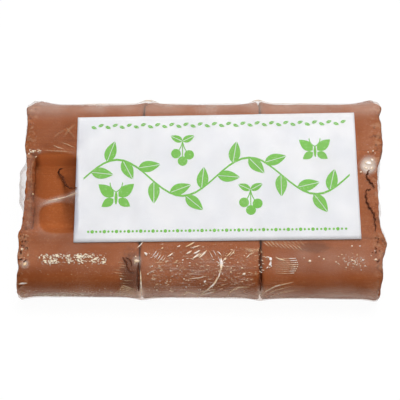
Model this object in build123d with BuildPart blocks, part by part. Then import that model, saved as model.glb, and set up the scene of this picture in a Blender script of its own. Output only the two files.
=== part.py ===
from build123d import *

import math
import os

# A sealed shop pack of clay pot feet. The feet lie side by side with their bases up, a printed card
# lies across the bases, and clear shrink film closes round everything. The pack is modelled as it
# lies on a table: the long heels underneath at the back, the short toes at the front, so the bases
# slope down towards the front. Lengths are in millimetres, angles in degrees.

# Row of feet
foot_names = ["foot_left", "foot_middle", "foot_right"]
foot_width = 55.0
foot_gap = 0.4

# One foot, seen from its cut side: u runs along the base from the toe end, v rises from the base
foot_height = 58.7
shelf_height = 21.4
shelf_length = 64.1
seat_radius = 4.0

# Toe, the thin end of the shelf that reaches out under the pot
toe_corner_radius = 6.0
toe_nose_radius = 7.5
toe_nose_setback = 1.0

# Heel, the bulb that stands outside the pot
heel_thickness = 36.2
heel_belly_share = 0.56
heel_tip_share = 0.36
heel_edge_radius = 5.0
heel_edge_setback = 10.0
heel_root_radius = 10.0

# Arch, the shallow recess that lets water run under the foot
arch_height = 6.9
arch_start = 27.9
arch_overlap = 1.8
arch_toe_run = 3.3
arch_heel_run = 5.6
arch_roof_radius = 3.5
arch_lip_radius = 3.0

# Printed card
card_depth = 60.7
card_thickness = 0.35
card_clearance = 0.1
card_setback = 23.7
card_left_margin = 24.2
card_right_margin = 10.3
card_turn = 1.0

# Shrink film
film_clearance = 0.8
film_wall = 0.3
film_end_radius = 1.1

# Basin where the film is drawn down into the arch, beside the card on the left foot
basin_end_margin = 3.0
basin_card_margin = 2.0
basin_toe_margin = 1.0
basin_heel_margin = 4.0
basin_roof_gap = 0.3
basin_corner_radius = 5.5
basin_taper = 35.0

# Sizes that follow
row_length = len(foot_names) * (foot_width + foot_gap) - foot_gap
foot_length = shelf_length + heel_thickness
heel_belly_radius = heel_thickness / 2
heel_tip_radius = heel_thickness * heel_tip_share
heel_axis = shelf_length + heel_belly_radius
arch_end = shelf_length + arch_overlap
card_length = row_length - card_left_margin - card_right_margin
film_growth = film_clearance + film_wall

# The round corners of the foot's section, each as a centre and a radius
toe_corner = (toe_corner_radius, shelf_height - toe_corner_radius, toe_corner_radius)
toe_nose = (toe_nose_setback + toe_nose_radius, toe_nose_radius, toe_nose_radius)
heel_edge = (foot_length - heel_edge_setback - heel_edge_radius, heel_edge_radius, heel_edge_radius)
heel_belly = (heel_axis, foot_height * heel_belly_share, heel_belly_radius)
heel_tip = (heel_axis, foot_height - heel_tip_radius, heel_tip_radius)
heel_root = (shelf_length + heel_root_radius, heel_root_radius, heel_root_radius)

# Loops of rounds, anticlockwise: the toe, the heel, and the corners that a tight skin would touch
toe_rounds = [toe_corner, toe_nose]
heel_rounds = [heel_edge, heel_belly, heel_tip, heel_belly, heel_root]
outer_rounds = [toe_nose, heel_edge, heel_belly, heel_tip, toe_corner]
arc_shares = (0, 0.5, 1)


def span_normal(first, second):
    """Angle of the outward normal on the straight span from one round to the next."""
    run, rise = second[0] - first[0], second[1] - first[1]
    swing = math.acos((first[2] - second[2]) / math.hypot(run, rise))
    return math.atan2(rise, run) - swing


def point_on(round_corner, angle, growth):
    """Point of a round at an angle, with the round grown outwards."""
    u, v, radius = round_corner
    return (u + (radius + growth) * math.cos(angle), v + (radius + growth) * math.sin(angle))


def wrap(rounds, growth=0.0):
    """Edges of a tight loop round the corners, taken anticlockwise, grown outwards."""
    arcs = []
    for place, corner in enumerate(rounds):
        start = span_normal(rounds[place - 1], corner)
        turn = (span_normal(corner, rounds[(place + 1) % len(rounds)]) - start) % math.tau
        arcs.append([point_on(corner, start + turn * share, growth) for share in arc_shares])
    with BuildLine() as loop:
        for place, arc in enumerate(arcs):
            Line(arcs[place - 1][-1], arc[0])
            ThreePointArc(*arc)
    return loop.edges()


# Resting pose: the pack lies on the straight span of film between the heel tips and the toe corners
tilt = (span_normal(heel_tip, toe_corner) - math.pi / 2) % math.tau
along = Vector(0, math.cos(tilt), math.sin(tilt))
upright = Vector(0, math.sin(tilt), -math.cos(tilt))


def reach(direction, sign):
    """Furthest the film's outer skin goes along a direction of the section."""
    middles = [(along * u + upright * v).dot(direction) * sign for u, v, _ in outer_rounds]
    return sign * max(middle + corner[2] + film_growth for middle, corner in zip(middles, outer_rounds))


# Where the toe end of the bases lies, with the pack centred front to back and its underside at zero
back, top = Vector(0, 1, 0), Vector(0, 0, 1)
base_y = -(reach(back, 1) + reach(back, -1)) / 2
base_z = -reach(top, -1)


def section_plane(x):
    """Plane of a cut side at x, with the section's u along its first axis and v along its second."""
    return Plane(origin=(x, base_y, base_z), x_dir=along, z_dir=(-1, 0, 0))


def corner_near(sketch, u, v):
    """The sketch's corner closest to a point of the section."""
    return sketch.vertices().sort_by_distance((u, v, 0))[0]


os.makedirs("parts", exist_ok=True)

# Feet, each cut from a long bar of clay, so each has one section from side to side: the toe and the
# heel, the shelf that joins them, and the arch taken out of its base
for index, name in enumerate(foot_names):
    right_side = index * (foot_width + foot_gap) + foot_width - row_length / 2
    with BuildPart() as foot:
        with BuildSketch(section_plane(right_side)) as section:
            make_face(wrap(toe_rounds))
            make_face(wrap(heel_rounds))
            with BuildLine():
                Polyline(
                    (toe_nose[0], 0),
                    (heel_edge[0], 0),
                    (heel_axis, shelf_height),
                    (toe_corner[0], shelf_height),
                    close=True,
                )
            make_face()
            with BuildLine():
                Polyline(
                    (arch_start, 0),
                    (arch_start + arch_toe_run, arch_height),
                    (arch_end - arch_heel_run, arch_height),
                    (arch_end, 0),
                    close=True,
                )
            make_face(mode=Mode.SUBTRACT)
            fillet(corner_near(section, shelf_length, shelf_height), radius=seat_radius)
            for u in (arch_start + arch_toe_run, arch_end - arch_heel_run):
                fillet(corner_near(section, u, arch_height), radius=arch_roof_radius)
            for u in (arch_start, arch_end):
                fillet(corner_near(section, u, 0), radius=arch_lip_radius)
        extrude(amount=foot_width)
    foot.part.label = name
    export_step(foot.part, f"parts/{name}.step")

# Card, flat across the bases and a little askew
card_x = (card_left_margin - card_right_margin) / 2
card_middle = along * (card_setback + card_depth / 2) - upright * card_clearance
with BuildPart() as label_card:
    with BuildSketch(Plane(card_middle + Vector(card_x, base_y, base_z), (1, 0, 0), -upright)):
        Rectangle(card_length, card_depth, rotation=card_turn)
    extrude(amount=card_thickness)
label_card.part.label = "label_card"
export_step(label_card.part, "parts/label_card.step")

# Film basin, drawn down into the left foot's arch between the row's end and the card
basin_left = -row_length / 2 + basin_end_margin
basin_right = -row_length / 2 + card_left_margin - basin_card_margin
basin_near = arch_start + basin_toe_margin
basin_far = arch_end - basin_heel_margin
basin_floor = arch_height - basin_roof_gap


def basin_room(margin, top, bottom):
    """The basin's room between two heights of the section, widened by a margin at its top."""
    width = basin_right - basin_left + 2 * margin
    length = basin_far - basin_near + 2 * margin
    middle = along * (basin_near + basin_far) / 2 + upright * top
    place = middle + Vector((basin_left + basin_right) / 2, base_y, base_z)
    with BuildPart() as room:
        with BuildSketch(Plane(place, (1, 0, 0), upright)):
            RectangleRounded(width, length, basin_corner_radius)
        extrude(amount=bottom - top, taper=basin_taper)
    return room.part


# The sloping sides keep the film's wall when the room under it is wider by this margin
basin_lean = math.radians(basin_taper)
basin_wall = film_wall * (1 - math.sin(basin_lean)) / math.cos(basin_lean)
outer_basin = basin_room(0, -film_growth, basin_floor - film_wall)
inner_basin = basin_room(basin_wall, -film_clearance, basin_floor)

# Film, a closed skin with its ends shrunk flat
film_inside = row_length + 2 * film_clearance
film_outside = row_length + 2 * film_growth
with BuildPart() as film_hollow:
    with BuildSketch(section_plane(film_inside / 2)):
        make_face(wrap(outer_rounds, film_clearance))
    extrude(amount=film_inside)
    end_faces = film_hollow.faces().filter_by(Axis.X)
    fillet(end_faces.edges(), radius=film_end_radius - film_wall)
    add(inner_basin, mode=Mode.SUBTRACT)
with BuildPart() as shrink_film:
    with BuildSketch(section_plane(film_outside / 2)):
        make_face(wrap(outer_rounds, film_growth))
    extrude(amount=film_outside)
    end_faces = shrink_film.faces().filter_by(Axis.X)
    fillet(end_faces.edges(), radius=film_end_radius)
    add(outer_basin, mode=Mode.SUBTRACT)
    add(film_hollow.part, mode=Mode.SUBTRACT)
shrink_film.part.label = "shrink_film"
export_step(shrink_film.part, "parts/shrink_film.step")

print(f"bases slope {math.degrees(tilt):.1f} degrees down to the front")
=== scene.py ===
# %% [markdown]
# # Three clay pot feet in a shrink-wrapped shop pack
# A pot foot is a block of fired clay that lifts a plant pot off the ground. Three of them lie side by side
# with their bases up, a printed card lies across the bases, and clear film is shrunk tight round it all.
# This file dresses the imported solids: the clay first, then the card and its print, then the film.

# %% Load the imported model
import math
import random

import bmesh
import bpy
from mathutils import Matrix, Vector, noise
from mathutils.bvhtree import BVHTree


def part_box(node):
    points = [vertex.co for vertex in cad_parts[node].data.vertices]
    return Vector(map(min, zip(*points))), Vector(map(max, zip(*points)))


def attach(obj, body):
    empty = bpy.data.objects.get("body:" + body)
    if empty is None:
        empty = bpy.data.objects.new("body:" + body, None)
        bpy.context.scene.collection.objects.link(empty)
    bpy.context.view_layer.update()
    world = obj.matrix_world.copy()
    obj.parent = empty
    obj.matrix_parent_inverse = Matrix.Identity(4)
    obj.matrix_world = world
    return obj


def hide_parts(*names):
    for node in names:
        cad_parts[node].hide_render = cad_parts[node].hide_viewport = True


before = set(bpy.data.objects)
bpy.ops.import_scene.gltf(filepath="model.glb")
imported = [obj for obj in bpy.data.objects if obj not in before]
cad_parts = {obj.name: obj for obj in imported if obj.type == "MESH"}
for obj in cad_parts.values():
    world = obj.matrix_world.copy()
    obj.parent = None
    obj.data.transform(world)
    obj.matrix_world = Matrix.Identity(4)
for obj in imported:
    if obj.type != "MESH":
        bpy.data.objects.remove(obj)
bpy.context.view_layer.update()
print("nodes:", sorted(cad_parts))

# %% [markdown]
# ## Coordinates that lie along the bases
# The pack rests on the heel tips and the toe corners, so the bases slope down towards the viewer. It is far
# easier to place things on the bases in coordinates that slope with them: x along the row, u from the toe
# end to the heel end, and n straight up out of the bases, all in millimetres. One matrix turns those into
# the pack's place in the world, in metres, and its inverse turns world points back. The slope is that of the
# packed card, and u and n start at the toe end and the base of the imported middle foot.

# %% The matrix from bases to world
card_face = max(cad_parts["label_card"].data.polygons, key=lambda face: face.area * face.normal.z)
base_slope = math.radians(round(math.degrees(math.atan2(-card_face.normal.y, card_face.normal.z)), 3))
slope_turn = Matrix.Rotation(base_slope, 4, "X")
levelled = [slope_turn.inverted() @ v.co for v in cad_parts["foot_middle"].data.vertices]
toe_end = slope_turn @ Vector((0, min(p.y for p in levelled), max(p.z for p in levelled)))
toe_end = Vector([round(c, 6) for c in toe_end])
millimetre = 0.001
to_world = Matrix.Translation(toe_end) @ slope_turn @ Matrix.Scale(millimetre, 4)
to_bases = to_world.inverted()
print("the bases slope by", round(math.degrees(base_slope), 3), "degrees from", toe_end)

# %% [markdown]
# ## Helpers for meshes
# Every piece here is a bmesh whose points lie in world coordinates. When its shape is done it becomes an
# object at the origin that rides on the pack. Small shapes, such as leaves or pleats, are made one by one and
# added to a joined mesh, and each is first turned so that its faces look the right way. A solid's triangles
# are too uneven to dent, so a voxel remesh can turn them into an even skin.

# %% Make pieces, join small shapes and divide a skin evenly
def finish_piece(name, bm, material, smooth=True):
    """Turn a bmesh in world coordinates into an object that rides on the pack."""
    mesh = bpy.data.meshes.new(name)
    bm.to_mesh(mesh)
    bm.free()
    for face in mesh.polygons:
        face.use_smooth = smooth
    piece = bpy.data.objects.new(name, mesh)
    bpy.context.scene.collection.objects.link(piece)
    mesh.materials.append(material)
    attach(piece, "root")
    print(name, len(mesh.vertices), "points,", len(mesh.polygons), "faces")
    return piece


def face_towards(shape, direction_at):
    """Flip the faces of a flat shape that look away from the direction given for their middles."""
    for face in shape.faces:
        face.normal_update()
        if face.normal.dot(direction_at(face.calc_center_median())) < 0:
            face.normal_flip()


def add_shape(joined, shape):
    """Add a small shape to a joined mesh and let go of it."""
    held = bpy.data.meshes.new("held")
    shape.to_mesh(held)
    shape.free()
    joined.from_mesh(held)
    bpy.data.meshes.remove(held)


def remeshed(bm, voxel):
    """The same skin with points at even distances of about one voxel, in metres."""
    draft = bpy.data.objects.new("draft", bpy.data.meshes.new("draft"))
    bm.to_mesh(draft.data)
    bm.free()
    bpy.context.scene.collection.objects.link(draft)
    remesh = draft.modifiers.new("even", "REMESH")
    remesh.mode, remesh.voxel_size = "VOXEL", voxel
    ready = draft.evaluated_get(bpy.context.evaluated_depsgraph_get())
    divided = bmesh.new()
    divided.from_mesh(ready.to_mesh())
    ready.to_mesh_clear()
    bpy.data.objects.remove(draft)
    return divided


def thicken(bm, thickness):
    """Make the faces of an open sheet look up, then give it a thickness in metres, downwards."""
    bmesh.ops.recalc_face_normals(bm, faces=bm.faces)
    if sum(face.normal.z for face in bm.faces) < 0:
        bmesh.ops.reverse_faces(bm, faces=bm.faces)
    bmesh.ops.solidify(bm, geom=bm.faces[:], thickness=-thickness)
    bmesh.ops.recalc_face_normals(bm, faces=bm.faces)


# %% [markdown]
# ## Helpers for numbers
# Worn clay and shrunk film have no sharp changes. So their shapes are sums of three soft things: a ramp that
# eases in and out, a bell round a place, and smooth noise.

# %% Ramps, bells and noise
def ease(value, low, high):
    """0 below low, 1 above high, and a soft ramp between; low may be the larger of the two."""
    share = max(0.0, min(1.0, (value - low) / (high - low)))
    return share * share * (3 - 2 * share)


def hump(value, middle, width):
    """A bell that is 1 at the middle and fades over the width on each side."""
    return math.exp(-(((value - middle) / width) ** 2))


def wander(x, y, z, scale):
    """Smooth noise between about -1 and 1 whose bumps are about as long as scale."""
    return noise.noise(Vector((x / scale, y / scale, z / scale)))


# %% [markdown]
# ## Helpers for materials
# A material is a tree of nodes. Adding a node, setting it up and linking its inputs takes a few lines each
# time, so one helper does all three, and the others below name the node that they add by what it is for.

# %% Colours and nodes
def colour(red, green, blue):
    """A screen colour of 0 to 255 as the linear values that shaders use."""
    parts = [c / 255 for c in (red, green, blue)]
    return [p / 12.92 if p <= 0.04045 else ((p + 0.055) / 1.055) ** 2.4 for p in parts] + [1.0]


white = (1, 1, 1, 1)


def put(tree, kind, feed=None, **settings):
    """Add a node, set it up, and fill its inputs with values or with other nodes' outputs."""
    made = tree.nodes.new(kind)
    for key, value in settings.items():
        setattr(made, key, value)
    for key, value in (feed or {}).items():
        if isinstance(value, bpy.types.NodeSocket):
            tree.links.new(value, made.inputs[key])
        else:
            made.inputs[key].default_value = value
    return made


# %% Sums, ramps and mixes
def sums(tree, operation, *values):
    """A Math node on values or outputs, given back as its output."""
    return put(tree, "ShaderNodeMath", dict(enumerate(values)), operation=operation).outputs[0]


def product(tree, first, *others):
    """Values or outputs multiplied together."""
    for other in others:
        first = sums(tree, "MULTIPLY", first, other)
    return first


def ramp(tree, value, low, high, out_low=0.0, out_high=1.0):
    """A value that rises smoothly from out_low to out_high as the input goes from low to high."""
    feed = {"Value": value, "From Min": low, "From Max": high, "To Min": out_low, "To Max": out_high}
    return put(tree, "ShaderNodeMapRange", feed, interpolation_type="SMOOTHSTEP").outputs[0]


def mix(tree, share, first, second):
    """A colour that goes from the first to the second as the share goes from 0 to 1."""
    return put(tree, "ShaderNodeMix", {"Factor": share, 6: first, 7: second}, data_type="RGBA").outputs[2]


def blend(tree, share, first, second):
    """A shader that goes from the first to the second as the share goes from 0 to 1."""
    return put(tree, "ShaderNodeMixShader", {0: share, 1: first, 2: second}).outputs[0]


# %% Patterns, bumps and a shader
def clouds(tree, position, scale, detail, roughness=0.5):
    """Noise texture at a position."""
    feed = {"Vector": position, "Scale": scale, "Detail": detail, "Roughness": roughness}
    return put(tree, "ShaderNodeTexNoise", feed).outputs[0]


def stretched(tree, position, scale):
    """A position scaled along its axes, so that a pattern on it is drawn out."""
    return put(tree, "ShaderNodeMapping", {"Vector": position, "Scale": scale}).outputs[0]


def bumps(tree, height, strength, distance):
    """A normal that makes a height look raised, by a strength and a distance in metres."""
    feed = {"Height": height, "Strength": strength, "Distance": distance}
    return put(tree, "ShaderNodeBump", feed).outputs[0]


def skin_shader(tree, base, roughness, normal, shine):
    """A Principled shader with a base colour, a roughness, a normal and a share of plain shine."""
    feed = {"Base Color": base, "Roughness": roughness, "Normal": normal, "Specular IOR Level": shine}
    return put(tree, "ShaderNodeBsdfPrincipled", feed).outputs[0]


def painted(tree, name):
    """What is painted on a piece's points under a name."""
    return put(tree, "ShaderNodeAttribute", attribute_name=name).outputs["Fac"]


# %% A material from start to end
def bases_position(tree):
    """The shaded point in the millimetres of the bases: a Texture mapping undoes the matrix above."""
    here = put(tree, "ShaderNodeTexCoord").outputs["Object"]
    feed = {"Vector": here, "Location": toe_end, "Rotation": (base_slope, 0, 0), "Scale": (millimetre,) * 3}
    return put(tree, "ShaderNodeMapping", feed, vector_type="TEXTURE").outputs[0]


def blank_material(name):
    """A material with an empty node tree."""
    material = bpy.data.materials.new(name)
    material.use_nodes = True
    material.node_tree.nodes.clear()
    return material, material.node_tree


def finish_material(material, shader):
    """Link a shader to the material's output."""
    put(material.node_tree, "ShaderNodeOutputMaterial", {"Surface": shader})
    print("material", material.name, "has", len(material.node_tree.nodes), "nodes")


# %% [markdown]
# ## Camera
# The photograph looks down on the pack from the front, close enough that the far edge is clearly shorter
# than the near one. A camera is set up here from what was measured in the picture: how steeply it looks
# down, how far it is turned and rolled, how far off it stands and how long its lens is.

# %% Camera
look_down, turned, rolled = math.radians(49.63), math.radians(-3.33), math.radians(-2.36)
aim, distance, lens = Vector((-0.00128, 0, 0.01756)), 0.3674, 66.33
camera_turn = Matrix.Rotation(-turned, 4, "Z") @ Matrix.Rotation(math.pi / 2 - look_down, 4, "X")
camera_turn = camera_turn @ Matrix.Rotation(rolled, 4, "Z")
camera = bpy.data.objects.new("camera", bpy.data.cameras.new("camera"))
camera.matrix_world = Matrix.Translation(aim + camera_turn.to_3x3() @ Vector((0, 0, distance))) @ camera_turn
camera.data.lens = lens
camera.data.clip_start = 0.01
bpy.context.scene.collection.objects.link(camera)
bpy.context.scene.camera = camera
bpy.context.scene.view_settings.view_transform = "Standard"
print("camera at", [round(c, 3) for c in camera.matrix_world.translation])

# %% [markdown]
# ## Light
# Product shots like this one are lit in a white tent: light from all round, with one big soft lamp above.
# The world gives the tent. It is pure white where the camera, a reflection or the clear film looks at it,
# but lights the pack only softly, so the clay keeps its own colour. A big area lamp hangs almost straight
# above, a little behind the pack, and gives the rolls their sheen. A weaker one in front opens the shadows.
# The tent is dimmer low down, where the photographer stands, and that is what draws the dark band along the
# front of the toes.

# %% The tent
world = bpy.data.worlds.new("tent")
world.use_nodes = True
bpy.context.scene.world = world
sky = world.node_tree
sky.nodes.clear()
rays = put(sky, "ShaderNodeLightPath").outputs
seen = sums(sky, "MAXIMUM", rays["Is Camera Ray"], rays["Is Transmission Ray"])
seen = sums(sky, "MAXIMUM", seen, rays["Is Glossy Ray"])
direction = put(sky, "ShaderNodeTexCoord").outputs["Generated"]
upwards = put(sky, "ShaderNodeSeparateXYZ", {0: direction}).outputs["Z"]
low_glow, high_glow = 0.06, 0.44
overhead = ramp(sky, upwards, 0.0, 0.9, low_glow, high_glow)
soft_light = put(sky, "ShaderNodeBackground", {"Color": white, "Strength": overhead}).outputs[0]
white_wall = put(sky, "ShaderNodeBackground", {"Color": white, "Strength": 1.0}).outputs[0]
put(sky, "ShaderNodeOutputWorld", {"Surface": blend(sky, seen, soft_light, white_wall)})
print("tent:", len(sky.nodes), "nodes")

# %% Lamps
lamp_size = 0.5
lamp_aim = Vector((0, 0, 0.03))


def soft_lamp(name, place, watts):
    """A square area lamp that faces the middle of the pack."""
    lamp = bpy.data.objects.new(name, bpy.data.lights.new(name, "AREA"))
    lamp.data.size, lamp.data.energy = lamp_size, watts
    lamp.location = place
    lamp.rotation_euler = (lamp_aim - Vector(place)).to_track_quat("-Z", "Y").to_euler()
    bpy.context.scene.collection.objects.link(lamp)
    print(name, "at", place, watts, "W")


soft_lamp("top_lamp", (0.12, 0.12, 0.92), 6.6)
soft_lamp("front_lamp", (-0.4, -0.5, 0.8), 1.0)

# %% [markdown]
# ## Floor
# The floor is a white sweep. To the camera it mostly glows white, so it melts into the backdrop, and a part
# of it is an ordinary matt surface that still takes the soft shadow of the pack.

# %% Floor
floor_half, matt_grey, glow_strength, glow_share = 6, 0.7, 1.03, 0.93
white_floor, tree = blank_material("white_floor")
matt = put(tree, "ShaderNodeBsdfDiffuse", {"Color": (matt_grey, matt_grey, matt_grey, 1)}).outputs[0]
glow = put(tree, "ShaderNodeEmission", {"Color": white, "Strength": glow_strength}).outputs[0]
rays = put(tree, "ShaderNodeLightPath").outputs
direct = sums(tree, "MAXIMUM", rays["Is Camera Ray"], rays["Is Glossy Ray"])
finish_material(white_floor, blend(tree, product(tree, direct, glow_share), matt, glow))
bm = bmesh.new()
bmesh.ops.create_grid(bm, x_segments=1, y_segments=1, size=floor_half)
floor_mesh = bpy.data.meshes.new("floor")
bm.to_mesh(floor_mesh)
bm.free()
floor_mesh.materials.append(white_floor)
floor = bpy.data.objects.new("floor", floor_mesh)
bpy.context.scene.collection.objects.link(floor)

# %% [markdown]
# ## Grain
# Fired clay, card, ink and folded film all show a fine grain, each at its own size. A node group holds that
# grain once: it takes a position and a grain size, and puts out a value that wavers round zero.

# %% The grain group
grain = bpy.data.node_groups.new("grain", "ShaderNodeTree")
grain.interface.new_socket("Position", in_out="INPUT", socket_type="NodeSocketVector")
grain.interface.new_socket("Size", in_out="INPUT", socket_type="NodeSocketFloat")
grain.interface.new_socket("Value", in_out="OUTPUT", socket_type="NodeSocketFloat")
into, outof = put(grain, "NodeGroupInput"), put(grain, "NodeGroupOutput")
fine = clouds(grain, into.outputs["Position"], sums(grain, "DIVIDE", 1.0, into.outputs["Size"]), 4.0)
grain.links.new(sums(grain, "SUBTRACT", fine, 0.5), outof.inputs["Value"])


def grain_at(tree, position, size):
    """Place the grain group in a material, with grains of about the given size in millimetres."""
    made = tree.nodes.new("ShaderNodeGroup")
    made.node_tree = grain
    tree.links.new(position, made.inputs["Position"])
    made.inputs["Size"].default_value = size
    return made.outputs["Value"]


print("grain group:", len(grain.nodes), "nodes")

# %% [markdown]
# ## Clay
# Terracotta is fired earth: orange brown, matt, with paler dusty patches where fine slip dried on the skin.
# The bar was pushed through a die, so faint lines run along it from side to side. A flat colour would look
# like plastic, so broad clouds, a fine dust and the die lines each shift it a little.

# %% Clay colour: clouds, dust and die lines
clay_brown, clay_orange, clay_dust = colour(148, 78, 38), colour(160, 88, 46), colour(190, 122, 76)
clay_line, clay_patch_brown, clay_crack = colour(112, 56, 30), colour(84, 44, 26), colour(92, 46, 26)
clay_lit, clay_torn = colour(206, 114, 60), colour(186, 132, 94)
clay, tree = blank_material("fired_clay")
spot = bases_position(tree)
spot_x, spot_u, spot_n = put(tree, "ShaderNodeSeparateXYZ", {0: spot}).outputs[:3]
cloud = clouds(tree, spot, 0.045, 5.0, 0.55)
cloudy = ramp(tree, cloud, 0.35, 0.68)
dust = ramp(tree, sums(tree, "ADD", grain_at(tree, spot, 1.1), product(tree, cloudy, 0.12)), 0.06, 0.3)
dusted = mix(tree, product(tree, dust, 0.3), mix(tree, cloudy, clay_brown, clay_orange), clay_dust)
die_lines = clouds(tree, stretched(tree, spot, (0.02, 1.0, 1.0)), 0.8, 3.0)
skin_colour = mix(tree, ramp(tree, die_lines, 0.38, 0.24, 0.0, 0.35), dusted, clay_line)

# %% [markdown]
# A brown stain shows on the right toe below the card, and the left toe is darker beside the first joint. The
# arch is painted brighter, a painted bounce light for light that falls in and is thrown from wall to wall.
# The cut ends
# are crumbly: pale where the skin broke off and dark in the cracks.

# %% Clay colour: a stain, a darker patch, painted bounce light in the arch, and the crumbly ends
# a brown stain on the right toe, and a darker patch on the left toe beside the first joint
dark_patches = (((51.7, 21.1, 0), (8.5, 3.2, 3), 0.48), ((-31.5, 9, -1), (5.5, 12, 7), 0.6))
darkened_share = 0.0
for middle, reach, depth in dark_patches:
    away = put(tree, "ShaderNodeVectorMath", {0: spot, 1: middle}, operation="SUBTRACT").outputs[0]
    away = put(tree, "ShaderNodeVectorMath", {0: away, 1: reach}, operation="DIVIDE").outputs[0]
    away = put(tree, "ShaderNodeVectorMath", {0: away}, operation="LENGTH").outputs["Value"]
    away = sums(tree, "ADD", away, product(tree, grain_at(tree, spot, 1.6), 0.9))
    darkened_share = sums(tree, "MAXIMUM", darkened_share, product(tree, ramp(tree, away, 1.1, 0.5), depth))
skin_colour = mix(tree, darkened_share, skin_colour, clay_patch_brown)

off_middle = sums(tree, "ABSOLUTE", spot_x)
# painted bounce light: the arch, most of all its shaded wall, is painted lighter clay
arch_depth = product(tree, ramp(tree, spot_n, -0.2, -1.4), ramp(tree, spot_n, -12.0, -9.0))
arch_length = product(tree, ramp(tree, spot_u, 27, 30), ramp(tree, spot_u, 68, 66))
shaded_wall = ramp(tree, spot_u, 58.5, 62.5, 0.1, 1.0)
arch_bounce_light = product(tree, arch_depth, arch_length, shaded_wall, ramp(tree, off_middle, 79, 76))
skin_colour = mix(tree, arch_bounce_light, skin_colour, clay_lit)

at_end = product(tree, ramp(tree, off_middle, 76.5, 81.5), ramp(tree, spot_n, -11.0, -3.0, 0.3, 1.0))
crumbly = product(tree, at_end, ramp(tree, grain_at(tree, spot, 2.6), 0.0, 0.12), 0.55)
cracked = product(tree, at_end, ramp(tree, grain_at(tree, spot, 2.2), -0.07, -0.16), 0.6)
skin_colour = mix(tree, cracked, mix(tree, crumbly, skin_colour, clay_torn), clay_crack)

# %% Clay surface: grain, die lines and pits
pits = put(tree, "ShaderNodeTexVoronoi", {"Vector": spot, "Scale": 0.55, "Randomness": 1.0})
pitted = product(tree, ramp(tree, pits.outputs["Distance"], 0.22, 0.05), 0.25)
height = sums(tree, "ADD", product(tree, grain_at(tree, spot, 0.5), 0.5), product(tree, die_lines, 0.5))
clay_bumps = bumps(tree, sums(tree, "SUBTRACT", height, pitted), 0.5, 0.0004)
clay_shine = 0.12
clay_roughness = ramp(tree, cloud, 0.3, 0.7, 0.72, 0.9)
finish_material(clay, skin_shader(tree, skin_colour, clay_roughness, clay_bumps, clay_shine))

# %% [markdown]
# ## The feet
# Each foot is a slice of an extruded bar, cut through with a wire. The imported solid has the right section,
# so a copy of it is the best start: its loose triangles are merged, its cut rims are bevelled, and a voxel
# remesh turns it into an even skin. Then every point moves a little, as real clay does: the wire drags the
# rims out into a slight flare, the cut sides are torn and lumpy, and the long faces waver.

# %% Copy a solid, soften its rims and remesh it
def in_mm(length):
    """A length in metres as millimetres, to a tenth."""
    return round(length * 1000, 1)


left_side, right_side = (corner.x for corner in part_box("foot_middle"))
foot_width = in_mm(right_side - left_side)
foot_pitch = in_mm(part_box("foot_right")[1].x - right_side)
row_end = in_mm(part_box("foot_right")[1].x)
middles = {"foot_left": -foot_pitch, "foot_middle": 0.0, "foot_right": foot_pitch}
joints = (-foot_pitch / 2, foot_pitch / 2)
rim_bevel, clay_voxel = 0.0007, 0.0009
print("foot width", foot_width, "pitch", foot_pitch, "row end", row_end)


def even_skin(name):
    """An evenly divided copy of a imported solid, its rims at the cut sides rounded first."""
    bm = bmesh.new()
    bm.from_mesh(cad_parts[name].data)
    bmesh.ops.remove_doubles(bm, verts=bm.verts, dist=1e-6)
    bmesh.ops.dissolve_limit(bm, angle_limit=math.radians(0.5), verts=bm.verts, edges=bm.edges)
    rims = [e for e in bm.edges if len(e.link_faces) == 2 and e.calc_face_angle() > math.radians(60)
            and any(abs(f.normal.x) > 0.99 for f in e.link_faces)]
    bmesh.ops.bevel(bm, geom=rims, offset=rim_bevel, offset_type="OFFSET", segments=2, profile=0.5,
                    affect="EDGES", material=-1)
    return remeshed(bm, clay_voxel)


# %% [markdown]
# The wear is written as small functions, because the film that is laid over the clay follows the same lumps
# and the same cuts. Pairs such as toe_free give where a change starts and where it is complete.

# %% How the clay is worn: rims, torn ends and skewed cuts
toe_free, heel_free, heel_tip = (22, 12), (86, 96), (88, 96)
toe_edge, toe_side = (8, 1), (9, 3)


def beyond_card(u):
    """1 on the toe and the heel, 0 where the card holds the bases down."""
    return max(ease(u, *toe_free), ease(u, *heel_free))


def burr(x, u, middle):
    """How far the wire has dragged a foot's rims outwards, in millimetres: little under the card."""
    to_side = foot_width / 2 - abs(x - middle)
    free = max(beyond_card(u), ease(abs(x), 76, 81))
    return (0.3 + 0.8 * free + 0.7 * ease(u, *heel_tip)) * math.exp(-((max(0.0, to_side) / 5.0) ** 1.4))


def swelling(x, u, at_ends):
    """How far heel and toe have swollen, in millimetres, more by at_ends towards the row's ends."""
    return ease(u, *heel_free) * (0.8 + at_ends * ease(abs(x), 74, 83)) + 0.4 * ease(u, *toe_edge)


def end_lumps(u, n, side):
    """How far the torn clay at the row's ends stands out from the plane of the cut, in millimetres."""
    lumps = wander(u, n, side * 9, 7) + 0.6 * wander(u, n, side * 5, 3.2)
    return 0.25 + 0.75 * lumps


def rim_lumps(x, u, n):
    """How far the ragged rims at the row's ends stand up, in millimetres."""
    rough = 0.2 + wander(x, u, n, 4.5) + 0.6 * wander(u, n, x, 2)
    return 0.8 * ease(abs(x), row_end - 3.5, row_end - 0.5) * rough


def end_trim(u, side):
    """How far a cut at the row's ends lies inside a square cut, in millimetres."""
    if side > 0:
        wide = 2.2 * hump(u, 22.5, 6) + 2.7 * hump(u, 68.5, 8) + 2.0 * hump(u, 80, 6) + 2.2 * ease(u, 82, 88)
        return 1.2 - wide + 1.5 * ease(u, 9, 2)
    narrow = ease(u, 32, 38) * ease(u, 62, 56)
    return 0.4 * narrow - 0.7 * ease(u, 62, 70) - 0.8 * hump(u, 25, 4.5) - 0.3 * ease(u, 8, 2)


def skewed(x, u, n):
    """Shift a point near a row's end with the cut there, which flares at the bottom of the toe."""
    side = math.copysign(1, x)
    flare = 1.7 * ease(u, 9, 4) * ease(n, -7, -12)
    return x - side * (end_trim(u, side) - flare) * ease(abs(x), row_end - 13, row_end)


# %% Wear the three feet
table_gap = 0.0004


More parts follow.
